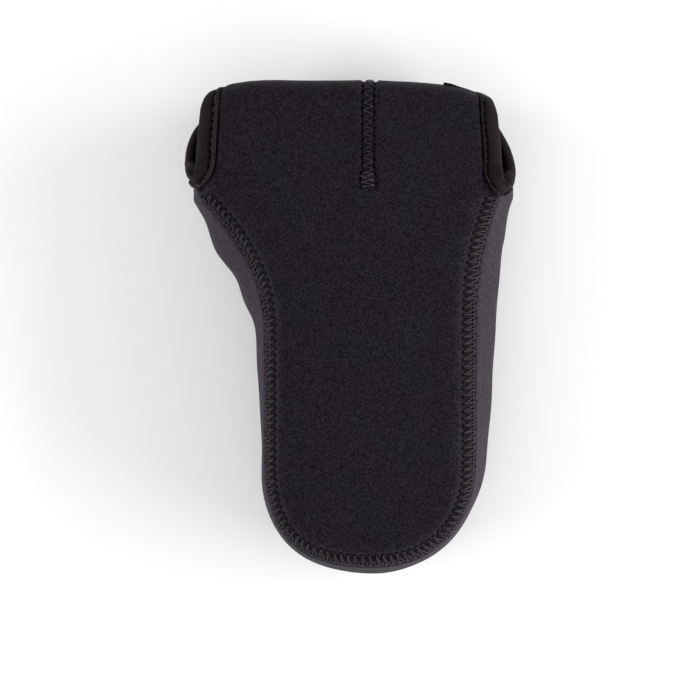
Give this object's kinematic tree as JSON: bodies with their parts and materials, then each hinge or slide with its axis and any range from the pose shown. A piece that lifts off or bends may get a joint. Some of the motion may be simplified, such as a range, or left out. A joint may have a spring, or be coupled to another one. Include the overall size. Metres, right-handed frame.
{
  "type": "neoprene camera case",
  "caption": "Soft black neoprene case for a reflex camera with its lens fitted: wide bar, offset lens stem, folded flap and bound strap openings.",
  "frame": {"origin": "on the surface that the case lies on, under the middle of its outside box", "axes": "+X to the right of the front panel, +Y along the lens from the nose to the flap, +Z out of the front panel"},
  "size_m": [0.1626, 0.2414, 0.087],
  "materials": {
    "neoprene": "black knitted jersey face on foamed neoprene, matte with a soft sheen",
    "binding": "black stretch binding, slightly warmer black, matte",
    "thread": "black sewing thread with a slight shine",
    "hook_tape": "black woven tape with moulded hooks",
    "loop_tape": "black brushed loop pile",
    "tab_tape": "blank black woven tape"
  },
  "bodies": {
    "body": {"front_panel": "neoprene", "back_panel": "neoprene", "gusset": "neoprene", "left_opening_binding": "binding", "right_opening_binding": "binding", "lip_binding": "binding", "loop_patch": "loop_tape", "front_seam_thread": "thread", "back_seam_thread": "thread", "dart_bar_tack": "thread", "dart_thread": "thread", "left_opening_thread": "thread", "right_opening_thread": "thread", "lip_thread": "thread", "loop_patch_thread": "thread"},
    "flap": {"flap_panel": "neoprene", "flap_binding": "binding", "hook_patch": "hook_tape", "flap_tab": "tab_tape", "flap_dart_thread": "thread", "flap_thread": "thread", "hook_patch_thread": "thread"}
  },
  "joints": [
    {"name": "flap_fold", "type": "hinge", "parent": "body", "child": "flap", "pos_m": [0, 0.11626, 0.08292], "axis": [1, 0, 0], "range_deg": [0, 120]}
  ]
}
